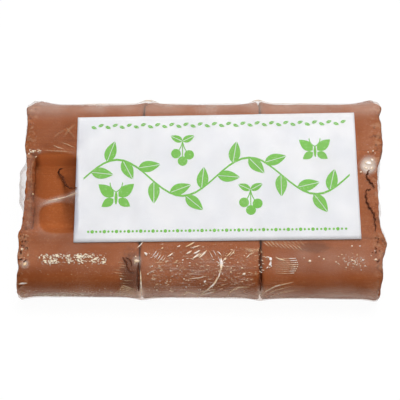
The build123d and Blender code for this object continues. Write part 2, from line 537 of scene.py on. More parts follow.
def wear(bm, middle):
    """Move each point of a foot's skin by its place on the foot."""
    bm.normal_update()
    for v in bm.verts:
        x, u, n = to_bases @ v.co
        facing = to_bases.to_3x3() @ v.normal
        facing.normalize()
        outer = Vector((0, facing.y, facing.z))
        across = outer.length
        move = outer * (burr(x, u, middle) * (0.75 + 0.4 * wander(x, u, n, 9)))
        under_card = ease(u, 20, 25) * ease(u, 88, 84) * ease(n, -3, -1)
        move += facing * 0.22 * (wander(x + 7, u, n, 16) * across - under_card)
        side = math.copysign(1, x - middle)
        if abs(x) > row_end - 3:
            push = 0.5 + 0.7 * ease(u, 84, 92) + 0.3 * ease(u, *toe_side) + end_lumps(u, n, side)
            move.x += side * push * abs(facing.x)
            move += outer * rim_lumps(x, u, n) * across
        move += outer * swelling(x, u, 0.3) * across
        v.co = to_world @ (Vector((skewed(x, u, n), u, n)) + move)
        v.co.z = max(v.co.z, table_gap)


for name, middle in middles.items():
    skin = even_skin(name)
    wear(skin, middle)
    foot = finish_piece("clay_" + name, skin, clay)
    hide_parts(name)

# %% [markdown]
# ## Flaps of clay at the two ends
# Where the wire left the bar it dragged a thin rough flap of clay across each open end of the arch. On the
# right end its torn inner edge is the dark crack in the photograph. Each flap is a grid of points between a
# torn inner line and the cut end, crumpled by noise and given a thickness.

# %% Flaps
flap_thickness = 0.0013


def flap(name, side, inner, near, far, drop, sunk):
    """A torn sheet of clay over one end of the arch, from x = inner to the cut end and from u = near to far.

    It lies drop below the bases, and its inner edge another sunk lower, in millimetres.
    """
    bm = bmesh.new()
    bmesh.ops.create_grid(bm, x_segments=14, y_segments=70, size=0.5)
    for v in bm.verts:
        share, u = v.co.x + 0.5, near + (v.co.y + 0.5) * (far - near)
        torn = inner + 0.9 * wander(u, side, 3, 5) + 0.5 * wander(u, side, 8, 1.7)
        x = torn + (row_end - 0.2 - end_trim(u, side) - torn) * share
        x += (0.25 + 0.6 * wander(u, 2, side, 3)) * share * (1 - abs(2 * share - 1))
        crumpled = 0.3 * wander(x, u, side, 2.2) + 0.15 * wander(x, u, side, 1.1)
        tucked = 1.6 * ease(u, near + 4, near + 1) + 1.6 * ease(u, far - 4, far - 1)
        n = crumpled - drop - sunk * (1 - share) ** 2 - tucked
        v.co = to_world @ Vector((side * x, u, n))
    thicken(bm, flap_thickness)
    finish_piece(name, bm, clay)


flap("clay_flap_right", 1, inner=71.8, near=22.5, far=69.5, drop=0.7, sunk=0.9)
flap("clay_flap_left", -1, inner=79.9, near=23.0, far=68.0, drop=0.75, sunk=3.0)

# %% [markdown]
# ## The card
# The card is a thin white board, printed on its upper face. It lies over the rims of the feet, so it has a
# faint ridge over each joint and sags a hair over the arch. A grid divided finely enough to follow those
# ridges is turned a degree, laid on the feet and given its thickness.

# %% Card surface
card_length, card_depth, card_thickness, card_turn = 131.3, 60.7, 0.35, math.radians(1.0)
card_middle = (6.95, 54.05)


def card_height(x, u):
    """How high the underside of the card lies over the bases, in millimetres."""
    ridge = max(hump(x, joint, 2.4) for joint in joints)
    hollow = ease(u, 26, 38) * ease(u, 70, 58)
    return 0.2 + 0.3 * ridge - 0.3 * hollow * (1 - ridge)


def on_card(a, b, lift=0.0):
    """The place on the card of a along its length and b up its depth, both from its middle."""
    x = card_middle[0] + a * math.cos(card_turn) - b * math.sin(card_turn)
    u = card_middle[1] + a * math.sin(card_turn) + b * math.cos(card_turn)
    return to_world @ Vector((x, u, card_height(x, u) + lift))


# %% [markdown]
# Coated board is smooth and a little cold in tone, with slight clouds. The ink lies in it rather than on it,
# so both have the same fine bumps, and the ink is paler where a grain of the board shows through.

# %% Card and ink materials
card_shade, card_bright = colour(227, 230, 236), colour(238, 240, 244)
ink_worn, ink_full = colour(160, 210, 130), colour(108, 186, 62)


def printed_surface(name, grain_size, low, high, first, second, roughness):
    """A smooth material whose colour goes from the first to the second with a grain."""
    material, tree = blank_material(name)
    spot = bases_position(tree)
    tone = mix(tree, ramp(tree, grain_at(tree, spot, grain_size), low, high), first, second)
    board_bumps = bumps(tree, grain_at(tree, spot, 0.4), 0.2, 0.0001)
    finish_material(material, skin_shader(tree, tone, roughness, board_bumps, 0.3))
    return material


white_card = printed_surface("white_card", 14.0, -0.2, 0.25, card_shade, card_bright, 0.55)
green_ink = printed_surface("green_ink", 0.7, -0.22, -0.05, ink_worn, ink_full, 0.5)

# %% Card
bm = bmesh.new()
bmesh.ops.create_grid(bm, x_segments=130, y_segments=30, size=0.5)
for v in bm.verts:
    v.co = on_card(v.co.x * card_length, v.co.y * card_depth)
thicken(bm, card_thickness * millimetre)
card = finish_piece("printed_card", bm, white_card)
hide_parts("label_card")

# %% [markdown]
# ## The print
# The print here is a plain green design of garden things: a leafy vine that winds along the card, with
# butterflies and berries in its hollows and a small row along each edge. Each shape starts flat as a circle
# or a strip, is bent into a leaf, a wing or a stem, and is then laid on the card a hair above its face, so
# it follows every ridge.

# %% Lay a flat shape on the card
ink_lift, ink_step, ink_steps = card_thickness + 0.05, 0.004, 12
longest_edge = 1.6
upright = Vector((0, 0, 1))
design = bmesh.new()
laid = []


def lay(shape, turn, place):
    """Turn and place a flat shape on the card, a hair over the shape before, and add it to the design."""
    bmesh.ops.subdivide_edges(shape, edges=[e for e in shape.edges if e.calc_length() > longest_edge], cuts=1,
                              use_grid_fill=True)
    bmesh.ops.triangulate(shape, faces=shape.faces)
    flat = Matrix.Translation((place[0], place[1], 0)) @ Matrix.Rotation(math.radians(turn), 4, "Z")
    bmesh.ops.transform(shape, matrix=flat, verts=shape.verts)
    for v in shape.verts:
        v.co = on_card(v.co.x, v.co.y, ink_lift + ink_step * (len(laid) % ink_steps))
    laid.append(place)
    face_towards(shape, lambda middle: upright)
    add_shape(design, shape)


# %% Rounds, leaves and stems
def disc(radius=1.0, long=1.0, segments=24):
    """A flat round, or an oval where long isn't 1."""
    shape = bmesh.new()
    bmesh.ops.create_circle(shape, cap_ends=True, cap_tris=True, segments=segments, radius=radius)
    bmesh.ops.scale(shape, vec=(1, long, 1), verts=shape.verts)
    return shape


def half_leaf(length, width, side):
    """One half of a leaf, its midrib edge at x = 0 and its stalk end at y = 0."""
    shape = bmesh.new()
    bmesh.ops.create_grid(shape, x_segments=1, y_segments=8, size=0.5)
    for v in shape.verts:
        along = v.co.y + 0.5
        swell = math.sin(math.pi * along ** 0.8) ** 0.9 * width / 2
        v.co = ((0.0 if v.co.x < 0 else swell) * side, along * length, 0)
    bmesh.ops.remove_doubles(shape, verts=shape.verts, dist=0.001)
    return shape


def leaf(place, turn, length, width, gap=0.28):
    """A leaf in two halves with a bare midrib between them."""
    across = Matrix.Rotation(math.radians(turn), 2) @ Vector((gap / 2, 0))
    for side in (-1, 1):
        lay(half_leaf(length, width, side), turn, (place[0] + side * across.x, place[1] + side * across.y))


def stem(start, end, width, bow=0.0):
    """A line from start to end, bowed sideways by a share of its length."""
    shape = bmesh.new()
    bmesh.ops.create_grid(shape, x_segments=1, y_segments=10, size=0.5)
    run = Vector(end) - Vector(start)
    side = Vector((run.y, -run.x)).normalized()
    for v in shape.verts:
        share = v.co.y + 0.5
        bowed = bow * run.length * math.sin(math.pi * share)
        place = Vector(start) + run * share + side * (v.co.x * width + bowed)
        v.co = (place.x, place.y, 0)
    lay(shape, 0, (0, 0))


# %% Butterflies, berries and rows
def butterfly(at, size):
    """A butterfly from above: four wings, two feelers and a body."""
    for side in (-1, 1):
        root = at[0] - side * 1.0 * size
        leaf((root, at[1] + 0.5 * size), side * 50, 8.2 * size, 4.6 * size, 0.0)
        leaf((root, at[1] - 0.4 * size), side * 124, 5.8 * size, 3.6 * size, 0.0)
        stem((at[0], at[1] + 2.4 * size), (at[0] + side * 2.6 * size, at[1] + 6.4 * size), 0.5, side * 0.15)
    lay(disc(0.6 * size, 4.6), 0, at)


def berries(at, size):
    """Three berries on stalks under two leaves."""
    top = (at[0], at[1] + 5.2 * size)
    for side, low in ((-1, 0.0), (1, -0.6), (0, -3.2)):
        berry = (at[0] + 2.7 * side * size, at[1] + low * size)
        stem(top, berry, 0.45, 0.08 * side)
        lay(disc(2.0 * size), 0, berry)
    for side in (-1, 1):
        leaf(top, side * 64, 5.4 * size, 2.7 * size)


def along_row(middle, length, count):
    """Places at even distances along a level row."""
    return [(middle[0] - length / 2 + length * index / (count - 1), middle[1]) for index in range(count)]


def dotted_row(middle, length, count, size):
    """A row of small rounds, each third one larger."""
    for index, at in enumerate(along_row(middle, length, count)):
        lay(disc(size * (1.5 if index % 3 == 1 else 1.0), segments=10), 0, at)


def garland(middle, length, count, size):
    """A row of small leaves that point along it and lean up and down in turn."""
    for index, at in enumerate(along_row(middle, length, count)):
        leaf(at, -90 + (22 if index % 2 else -22), size, size * 0.46, 0.12)


# %% The vine and what stands in its hollows, in millimetres from the card's middle
half_wave, half_waves, rise = 31.0, 4, 9.0
vine_start = -half_wave * half_waves / 2
for index in range(half_waves):
    start = vine_start + half_wave * index
    stem((start, 0), (start + half_wave, 0), 1.0, (rise if index % 2 else -rise) / half_wave)
first_leaf, leaf_pitch, leaf_lean = -58.5, 7.4, 48
for index in range(16):
    a = first_leaf + leaf_pitch * index
    phase = math.pi * (a - vine_start) / half_wave
    slope = math.degrees(math.atan(math.pi * rise / half_wave * math.cos(phase)))
    leaf((a, rise * math.sin(phase)), slope - 90 + (leaf_lean if index % 2 else -leaf_lean), 10.5, 5.2)
butterfly(at=(-46.5, -9.5), size=1.15)
butterfly(at=(46.5, 11.5), size=1.0)
berries(at=(-15.5, 11.5), size=1.15)
berries(at=(16, -12.5), size=1.15)
garland(middle=(0, 25.5), length=118, count=36, size=2.9)
dotted_row(middle=(0, -25.5), length=118, count=64, size=0.55)
card_print = finish_piece("card_print", design, green_ink, smooth=False)

# %% [markdown]
# ## The film
# Shrink film is a thin clear skin. It bridges the hollows, is drawn down into the arch of the left foot
# where nothing covers it, stands up over the rims at the joints, and gathers at the two ends. The outer
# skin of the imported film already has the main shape, so a copy of it without its inner wall is remeshed
# and then dented, folded and creased point by point.

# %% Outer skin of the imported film, evenly divided
film_voxel = 0.00088


def outer_skin(name):
    """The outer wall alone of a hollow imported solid, remeshed to an even skin."""
    bm = bmesh.new()
    bm.from_mesh(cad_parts[name].data)
    bmesh.ops.remove_doubles(bm, verts=bm.verts, dist=1e-6)
    lowest = min(bm.verts, key=lambda v: v.co.z)
    kept, front = {lowest}, [lowest]
    while front:
        here = front.pop()
        for edge in here.link_edges:
            there = edge.other_vert(here)
            if there not in kept:
                kept.add(there)
                front.append(there)
    bmesh.ops.delete(bm, geom=[v for v in bm.verts if v not in kept], context="VERTS")
    return remeshed(bm, film_voxel)


film_skin = outer_skin("shrink_film")
print("film skin:", len(film_skin.verts), "points")

# %% [markdown]
# The basin in the solid has crisp corners, and a stretched film has none, so its points are smoothed first.
# Then the film is drawn in close to the clay, raised over the rims at the joints, given the lumps of the torn
# ends, and gathered in folds that run towards the middle of each end. At the left end a bubble stands out.

# %% Draw the film in and raise it over the rims
basin_right, basin_near, basin_far, basin_floor, basin_rounds = -54, 20, 72, -12, 40


def in_basin(point):
    """Whether a world point lies in or round the basin over the left foot's arch."""
    x, u, n = to_bases @ point
    return x < basin_right and basin_near < u < basin_far and basin_floor < n


basin = [v for v in film_skin.verts if in_basin(v.co)]
for _ in range(basin_rounds):
    bmesh.ops.smooth_vert(film_skin, verts=basin, factor=0.5,
                          use_axis_x=True, use_axis_y=True, use_axis_z=True)
film_skin.normal_update()
heart = Vector((0, 57, -22))
slack, drawn_in = 0.15, 0.45


def raised(x, u):
    """How far the film stands up over the rims at the joints and at the row's ends, in millimetres."""
    over_joint = 0.35 + 0.6 * beyond_card(u) + 0.8 * ease(u, *heel_tip)
    return over_joint * sum(hump(x, joint, 4.5) for joint in joints) + 0.85 * hump(abs(x), row_end, 5.0)


def gathered(x, u, n, side):
    """How far the film at a row's end stands out, by folds round the heart and the clay's lumps."""
    angle = math.atan2(n - heart.z, u - heart.y)
    out = math.hypot(n - heart.z, u - heart.y)
    gathers = 0.35 * math.sin(angle * 17 + 2.5 * wander(x, u, n, 14)) * ease(out, 40, 12)
    return gathers * ease(out, 40, 30) + end_lumps(u, n, side) - 0.85


def bubble(u, n):
    """How far the bubble at the left end stands out, in millimetres."""
    return 3.2 * ease(u, 36, 44) * ease(u, 64, 54) * ease(n, -16, -4)


for v in film_skin.verts:
    x, u, n = to_bases @ v.co
    facing = (to_bases.to_3x3() @ v.normal).normalized()
    outer = Vector((0, facing.y, facing.z))
    on_clay = max(ease(u, 23, 17), ease(u, 86, 92), ease(n, -2, -4), ease(x, 73, 76), ease(x, -60, -64))
    move = outer * (raised(x, u) - slack - drawn_in * on_clay) + facing * 0.18 * wander(x, u, n, 7)
    if abs(x) > row_end:
        side = math.copysign(1, x)
        move.x += side * gathered(x, u, n, side) * min(1.0, 1.6 * abs(facing.x))
        move.x -= bubble(u, n) * abs(facing.x) if x < 0 else 0.0
    move += outer * (rim_lumps(x, u, n) + swelling(x, u, 0.4))
    v.co = to_world @ (Vector((skewed(x, u, n), u, n)) + move)
    v.co.z = max(v.co.z, 0.0)

# %% [markdown]
# ## Film material
# Clear film shows what is behind it. Where it lies wet against the clay it is nearly invisible and the clay
# looks darker, and the same darkening of the clear part paints shade: the band along the front of the toes
# and the card's shadow beside the arch. Where it stands off or is crumpled it turns milky, and each sharp
# crease is a white line; the milky part also carries painted reflection, sheen and highlights. So the
# material mixes three
# things: a clear part, a milky part whose share is painted by noise and creases, and a mirror-like part that
# grows at grazing angles.

# %% Film material: where it has painted highlight flecks, streaks and haze
clear_film, tree = blank_material("clear_film")
spot = bases_position(tree)
milk_and_sheen, fleck_highlight = painted(tree, "milk_and_sheen"), painted(tree, "fleck_highlight")
streaked, clinging_and_shaded = painted(tree, "streak"), painted(tree, "cling_and_shade")
patches = clouds(tree, spot, 0.09, 3.0)
facets = put(tree, "ShaderNodeTexVoronoi", {"Vector": stretched(tree, spot, (0.75, 1.0, 1.0)), "Scale": 2.4})
facet_tone = put(tree, "ShaderNodeSeparateColor", {0: facets.outputs["Color"]}).outputs[0]
fleck_highlights = ramp(tree, sums(tree, "ADD", facet_tone, product(tree, fleck_highlight, 0.55)), 0.92, 1.0)
fleck_highlights = product(tree, fleck_highlights, ramp(tree, fleck_highlight, 0.05, 0.4))
ribbed = clouds(tree, stretched(tree, spot, (0.12, 1.0, 1.0)), 1.2, 3.0)
crackle = product(tree, ramp(tree, ribbed, 0.54, 0.62), streaked)
haze_and_highlights = product(tree, milk_and_sheen, ramp(tree, patches, 0.3, 0.7, 0.55, 0.95))
haze_and_highlights = sums(tree, "MAXIMUM", haze_and_highlights, product(tree, fleck_highlights, 0.85))
haze_and_highlights = sums(tree, "MAXIMUM", haze_and_highlights, product(tree, crackle, 0.2))

# %% Film material: the milky part with painted highlights, the clear part with painted shade, and the mirror part
haze_pale, haze_warm, fleck_highlight_gold = (0.84, 0.72, 0.63, 1), (1.0, 0.70, 0.54, 1), (1.0, 0.89, 0.68, 1)
film_dry, film_wet_and_shaded = (0.985, 0.98, 0.975, 1), (0.78, 0.77, 0.80, 1)
creased = product(tree, sums(tree, "MAXIMUM", fleck_highlights, crackle), 0.5)
film_bumps = bumps(tree, sums(tree, "ADD", creased, patches), 0.8, 0.0006)
at_toe = ramp(tree, put(tree, "ShaderNodeSeparateXYZ", {0: spot}).outputs["Y"], 8.0, 2.0)
milk_and_highlight_tone = mix(tree, fleck_highlights, mix(tree, at_toe, haze_pale, haze_warm), fleck_highlight_gold)
milky_and_highlights = skin_shader(tree, milk_and_highlight_tone, 0.5, film_bumps, 0.2)
clear = put(tree, "ShaderNodeBsdfTransparent", {"Color": mix(tree, clinging_and_shaded, film_dry, film_wet_and_shaded)}).outputs[0]
mirror = put(tree, "ShaderNodeBsdfPrincipled", {"Base Color": white, "Metallic": 1.0, "Roughness": 0.12,
             "Normal": film_bumps}).outputs[0]
edge_on = put(tree, "ShaderNodeFresnel", {"IOR": 1.14, "Normal": film_bumps}).outputs[0]
edge_on = product(tree, edge_on, ramp(tree, milk_and_sheen, 0.0, 0.05, 0.12, 0.3))
finish_material(clear_film, blend(tree, edge_on, blend(tree, haze_and_highlights, clear, milky_and_highlights), mirror))

# %% Film piece
film = finish_piece("shrink_wrap", film_skin, clear_film)
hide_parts("shrink_film")

# %% [markdown]
# ## Where the film is milky, flecked or streaked
# The photograph shows where the film is clear and where it is milky. Those places are painted on the film's
# points as attributes, which stay on the surface whichever side it is looked at. To know which point a place
# in the photograph is, the camera set up above is used the other way round: a point of the film gives the
# pixel it appears at. Points that face away from the photograph get a plain, even, slightly milky finish.

# %% From points to pixels and back
picture_side, sensor_width = 400, 36
picture_middle = picture_side / 2
eye = camera.matrix_world.translation.copy()
lens_pixels = camera.data.lens / sensor_width * picture_side
into_view = camera.matrix_world.inverted()


def pixel_of(point):
    """Where a world point lies in the picture."""
    p = into_view @ point
    return picture_middle + lens_pixels * p.x / -p.z, picture_middle - lens_pixels * p.y / -p.z


def ray_to(px, py):
    """The direction from the eye through a place in the picture."""
    ahead = Vector((px - picture_middle, picture_middle - py, -lens_pixels))
    return (camera_turn.to_3x3() @ ahead).normalized()


def off_line(px, py, line):
    """How far, in pixels, a place lies from a line of points."""
    best = 1e9
    for (ax, ay), (bx, by) in zip(line, line[1:]):
        run = Vector((bx - ax, by - ay))
        to = Vector((px - ax, py - ay))
        share = max(0.0, min(1.0, to.dot(run) / run.length_squared))
        best = min(best, (to - run * share).length)
    return best


def oval(px, py, middle, size, soft=0.25, power=3.0):
    """1 inside a rounded box round the middle, fading to 0 over its soft edge."""
    far = (abs((px - middle[0]) / size[0]) ** power + abs((py - middle[1]) / size[1]) ** power) ** (1 / power)
    return ease(far, 1 + soft / 2, 1 - soft / 2)


def patch(px, py, left=None, right=None, top=None, bottom=None, row=None):
    """1 inside a patch of the picture, and 0 outside.

    Each side is a pair: the share goes from 0 at the first place to 1 at the second. A row is the middle and
    the width of a band along the picture.
    """
    share = hump(py, *row) if row else 1.0
    for place, side in ((px, left), (px, right), (py, top), (py, bottom)):
        if side:
            share *= ease(place, *side)
    return share


print("one pixel at the aim is", round(distance / lens_pixels * 1000, 3), "mm")

# %% [markdown]
# The paint itself is a handful of soft patches with names, in pixels of the picture. Milk is the haze, with
# painted reflection and sheen in some patches; flecks are painted highlights on small facets; cling is film
# lying wet on the clay, and also painted shade; and streaks are fine lines.

# %% Milk, with painted reflection and sheen
heel_roll, right_heel = {"bottom": (122, 101)}, {"left": (310, 355)}
toe_fold_from_sides = {"left": (118, 142), "right": (300, 270)}
under_toes, right_toe = {"top": (285, 296)}, {"left": (262, 306), "row": (258, 12)}
middle_toe = {"left": (112, 140), "right": (262, 240), "top": (240, 262)}
open_arch = {"left": (34, 42), "right": (80, 60), "top": (150, 166), "bottom": (246, 226)}
left_heel = {"right": (88, 74), "top": (116, 126), "bottom": (152, 146)}
left_bubble = {"right": (26, 22), "top": (160, 172), "bottom": (210, 200)}
arch_mouth = {"right": (35, 31), "top": (152, 160), "bottom": (236, 226)}
left_windows = (((56, 176), (25.5, 24), 0.1), ((60, 218), (21, 15.5), 0.1))
window_strand, strand_fade = [(30, 215), (40, 205), (54, 200), (66, 197), (76, 193)], (34, 60)
clear_band, toe_fold_line = (278, 8), 289
joint_columns, joint_foot = (141, 260), {"top": (284, 292)}
# bright spots of painted highlight on the film
highlight_spots = (
    (0.9, (368.5, 165), (7.5, 8), 0.9, 2.0),
    (0.3, (137, 261), (4, 4.5), 0.8),
    (0.35, (25, 264), (3.5, 4), 0.8),
)


def milk_and_sheen_at(px, py):
    """How milky the film is at a place in the picture, with painted reflection, sheen and highlights in some
    patches.
    """
    value = 0.065 + 0.03 * wander(px, py, 1, 22)
    # milky film over the heel, with painted reflection of the white surroundings where it turns away
    value += (0.33 - 0.07 * patch(px, py, **right_heel)) * patch(px, py, **heel_roll)
    value -= 0.06 * hump(py, *clear_band)
    fold = toe_fold_line + 4.5 * wander(px, 4, 1, 19) + 2 * wander(px, 9, 1, 7)
    value += (0.07 + 0.08 * patch(px, py, **toe_fold_from_sides)) * ease(py, fold - 3, fold + 2)
    # under the toes: milky film with painted reflection; along the right toe: painted sheen of the lamp
    for strength, place in ((0.24, under_toes), (0.10, right_toe), (0.04, middle_toe), (0.10, open_arch)):
        value += strength * patch(px, py, **place)
    value *= 1 - 0.35 * patch(px, py, **left_heel)
    value *= 1 - max(oval(px, py, *window) for window in left_windows)
    value += 0.45 * hump(off_line(px, py, window_strand), 0, 2.2) * ease(px, *strand_fade)
    value += 0.5 * patch(px, py, **left_bubble) + 0.05 * patch(px, py, **arch_mouth)
    value += 0.55 * patch(px, py, **joint_foot) * sum(hump(px, column, 2.5) for column in joint_columns)
    for strength, *place in highlight_spots:
        value += strength * oval(px, py, *place)
    return value


# %% Painted highlight flecks, cling with painted shade, and streaks
left_toe_fleck_highlights = {"left": (34, 44), "right": (109, 104), "top": (252, 255), "bottom": (266, 262)}
fleck_highlight_patches = (
    (0.42, {"left": (26, 30), "right": (48, 42), "row": (151, 2.2)}),
    (0.45, {"left": (26, 40), "right": (100, 80), "row": (295, 2.5)}),
    (0.16, {"left": (143, 150), "right": (258, 250), "top": (242, 250), "bottom": (294, 282)}),
    (0.22, {"left": (335, 345), "right": (372, 366), "top": (254, 258), "bottom": (272, 266)}),
)
# the toe roll band is painted shade along the front of the toes, darkening the clay as wet film does
toe_roll, right_of_left_toe = {"top": (262, 271), "bottom": (290, 283)}, {"left": (110, 160)}
cling_and_shade_patches = (
    (0.9, {"right": (27, 22), "top": (160, 172), "bottom": (210, 200)}),
    (0.2, {"left": (23, 27), "right": (36, 31), "top": (156, 168), "bottom": (236, 226)}),
    # the patch beside the card's left edge is the card's painted shadow on the arch
    (1.6, {"left": (59, 76), "right": (79, 76.5), "top": (153, 163), "bottom": (240, 215)}),
    (0.32, {"right": (90, 76), "top": (122, 132), "bottom": (152, 146)}),
    (0.3, {"right": (90, 70), "top": (226, 234), "bottom": (250, 242)}),
)
swirled = {"right": (92, 80), "top": (112, 120), "bottom": (150, 144)}
streaked_toe = {"left": (140, 170), "right": (262, 240), "top": (254, 264), "bottom": (298, 288)}


def fleck_highlight_at(px, py):
    """How strongly painted highlights show on small facets of crumpled film."""
    clumps = (0.50 + 0.75 * wander(px, py, 3, 5)) * patch(px, py, **left_toe_fleck_highlights)
    return max(clumps, max(strength * patch(px, py, **place) for strength, place in fleck_highlight_patches))


def cling_and_shade_at(px, py):
    """How much the clear film darkens the clay: where it lies wet, and as painted shade."""
    wet_and_shaded = 0.62 - 0.2 * patch(px, py, **right_of_left_toe) + 0.15 * wander(px, py, 6, 14)
    value = wet_and_shaded * patch(px, py, **toe_roll)
    value += sum(strength * patch(px, py, **place) for strength, place in cling_and_shade_patches)
    swirl = noise.noise(Vector((px / 16, py / 5.5 + 0.6 * noise.noise(Vector((px / 12, py / 9, 5))), 2)))
    return value + 0.7 * max(0.0, swirl) * patch(px, py, **swirled)


def streak_at(px, py):
    """How many fine lines run along the row."""
    return patch(px, py, **streaked_toe)


# %% Paint the film's points
coats = ("milk_and_sheen", "fleck_highlight", "streak", "cling_and_shade")
paint = {coat: film.data.attributes.new(coat, "FLOAT", "POINT") for coat in coats}
plain_cling = 0.25
for v in film.data.vertices:
    front = ease((eye - v.co).normalized().dot(v.normal), -0.05, 0.15)
    px, py = pixel_of(v.co)
    x, u, n = to_bases @ v.co
    plain_milk = 0.03 + 0.03 * wander(x, u, n, 15)
    plain_milk += 0.10 * ease(u, 8, 20) * ease(u, 92, 80) * ease(n, -5, -12)
    plain_fleck_highlight = 0.3 * ease(wander(x / 2 + 40, u, n, 9), 0.3, 0.6)
    paint["milk_and_sheen"].data[v.index].value = max(0.0, front * milk_and_sheen_at(px, py) + (1 - front) * plain_milk)
    paint["fleck_highlight"].data[v.index].value = front * fleck_highlight_at(px, py) + (1 - front) * plain_fleck_highlight
    paint["streak"].data[v.index].value = front * streak_at(px, py)
    paint["cling_and_shade"].data[v.index].value = max(0.0, front * cling_and_shade_at(px, py) + (1 - front) * plain_cling)
print("painted", len(film.data.vertices), "points of the film")

# %% [markdown]
# ## Pleats, glints and pinches
# Where the film was too wide to shrink flat, it doubled over into narrow pleats, and these are the white
# lines in the photograph; their white is partly doubled film and partly a painted highlight of the lamp, as
# are the glints.
# Noise gives a net of lines everywhere, but the real ones have places and directions, so each is a thin
# raised strip. It is drawn as a line in the picture, dropped onto the film along the line of sight, and lies
# on it from there on. How strongly each shows is kept for its points.

# %% A strip laid on the film
film_bm = bmesh.new()
film_bm.from_mesh(film.data)
film_tree = BVHTree.FromBMesh(film_bm)
film_bm.free()
folds = bmesh.new()
fold_strength = []
foot_of_fold = 0.03


def on_film(px, py):
    """The point of the film behind a place in the picture, and its outward direction."""
    return film_tree.ray_cast(eye, ray_to(px, py))[:2]


def to_eye(middle):
    """The direction from a point to the eye."""
    return eye - middle


def lay_strip(steps, place_at, direction_at, height, strength, rim_share):
    """Lay a tapered strip on the film, raised along its middle by a height in millimetres.

    place_at gives the film's point and outward direction for a share along the strip and a share across it.
    """
    shape, shown = bmesh.new(), []
    bmesh.ops.create_grid(shape, x_segments=2, y_segments=steps, size=0.5)
    for v in shape.verts:
        along, side = v.co.y + 0.5, round(v.co.x * 2)
        taper = math.sin(math.pi * (0.06 + 0.88 * along)) ** 0.6
        spot, normal = place_at(along, side * taper)
        if spot is None:
            shape.free()
            return
        v.co = spot + normal * millimetre * (foot_of_fold if side else height * taper)
        v.co.z = max(v.co.z, 0.0)
        shown.append(strength * taper * (rim_share if side else 1.2))
    face_towards(shape, direction_at)
    add_shape(folds, shape)
    fold_strength.extend(shown)


# %% A pleat, a fan of pleats and a glint
pleat_step = 1.6


def pleat(line, width=1.0, height=0.25, strength=1.0):
    """Lay a tapered strip along a line in the picture; width in pixels, height in millimetres."""
    ends = [Vector(p) for p in line]
    length = sum((b - a).length for a, b in zip(ends, ends[1:]))

    def place_at(along, across):
        """The film at a share of the line's length, moved sideways by a share of the width."""
        gone = along * length
        for a, b in zip(ends, ends[1:]):
            run = b - a
            if gone <= run.length + 1e-4 or b is ends[-1]:
                break
            gone -= run.length
        at = a + run.normalized() * gone + Vector((-run.y, run.x)).normalized() * width * 0.65 * across
        return on_film(at.x, at.y)

    lay_strip(max(3, int(length / pleat_step)), place_at, to_eye, height, strength, 0.45)


def fan(count, points, moves, width, height, strength):
    """Pleats side by side: from one to the next, each point of the line goes on by its own move."""
    for row in range(count):
        line = [(px + row * move[0], py + row * move[1]) for (px, py), move in zip(points, moves)]
        pleat(line, width, height, strength)


def glint(px, py, size, squash=1.0, turn=0.0, strength=1.0):
    """A small faceted pinch of film whose pale patch is a painted glint of the lamp, of a size in pixels."""
    shape, shown = bmesh.new(), []
    bmesh.ops.create_circle(shape, cap_ends=True, cap_tris=True, segments=7, radius=1.0)
    swing = Matrix.Rotation(math.radians(turn), 2)
    for v in shape.verts:
        rim = v.co.length > 0.5
        shown.append(strength * (0.3 if rim else 1.3))
        jag = random.uniform(0.7, 1.2) if rim else 0.0
        at = swing @ Vector((v.co.x * size * jag, v.co.y * size * squash * jag))
        spot, normal = on_film(px + at.x, py + at.y)
        if spot is None:
            shape.free()
            return
        v.co = spot + normal * millimetre * (foot_of_fold if rim else 0.35)
    face_towards(shape, to_eye)
    add_shape(folds, shape)
    fold_strength.extend(shown)


even, bunched = random.uniform, random.gauss


def glitter(count, across, down, size, strength, squash=0.8):
    """Scatter glints: across and down each give a way to draw, even or bunched, and its two values."""
    for _ in range(count):
        px, py = across[0](*across[1:]), down[0](*down[1:])
        glint(px, py, random.uniform(*size), squash, 0, random.uniform(*strength))


# %% [markdown]
# ## Clay crumbs and painted shade in the joints
# Under the film lie shreds that the wire tore off: a long curl in the arch, a crack's dark edge at the right
# end and a torn flap beside the first joint. Dark rolls also lie in both joints, where the film dips into
# them, as painted shade for their depth. Each is a rounded roll of clay along a line in the picture. A short
# scatter of crumbs follows at both ends.

# %% Rolls and crumbs of torn clay, and dark rolls of painted shade in the joints
crumbs_and_shade = bmesh.new()
arch_curl = [(63.5, 168), (60, 169), (58.3, 172), (60.5, 175.5), (63.5, 177.5), (64.5, 181), (66.5, 185.5),
             (70, 188), (77, 188)]
torn_and_shade_rolls = (
    ([(369.5, 170), (367.6, 171.5), (367.9, 173.5), (366.3, 175), (367, 178.5), (369.4, 180), (369.9, 182.5),
      (372.6, 183.5), (373.2, 186), (374.6, 188)], 1.7),
    ([(367.5, 189), (365.8, 191), (366.4, 194), (365.2, 196), (366.9, 198.5), (366.2, 202), (368.6, 203.8),
      (368.4, 207), (371.2, 208.6), (372.2, 212), (374.6, 213.2), (374, 217), (375.4, 219), (374.5, 223),
      (376, 226), (375.2, 231)], 1.7),
    ([(123, 257), (124.5, 260), (126.6, 262.4), (126.8, 266), (129, 269)], 1.5),
    ([(126, 257.6), (129.6, 259.2), (131.8, 262.6), (131.4, 266)], 1.1),
    ([(127.4, 268.5), (130.6, 271.4), (134.5, 272)], 1.0),
    ([(18.4, 285.6), (20, 286), (22, 285.4)], 1.3),
    ([(367.5, 190), (371, 189)], 1.2),
    # the last three rolls lie in the joints: dark painted shade for the depth of the gaps
    ([(138.6, 263), (138, 270), (138.8, 277), (138.2, 284), (139, 291)], 2.0),
    ([(260.2, 247), (259.4, 251), (260.6, 255), (259.2, 259), (260.4, 264), (259.4, 269)], 1.8),
    ([(260.2, 272), (259.6, 278), (260.8, 284), (260.2, 291)], 1.9),
)
crumb_fields = ((16, (19.5, 27), (236, 263)), (10, (371, 380), (238, 262)))


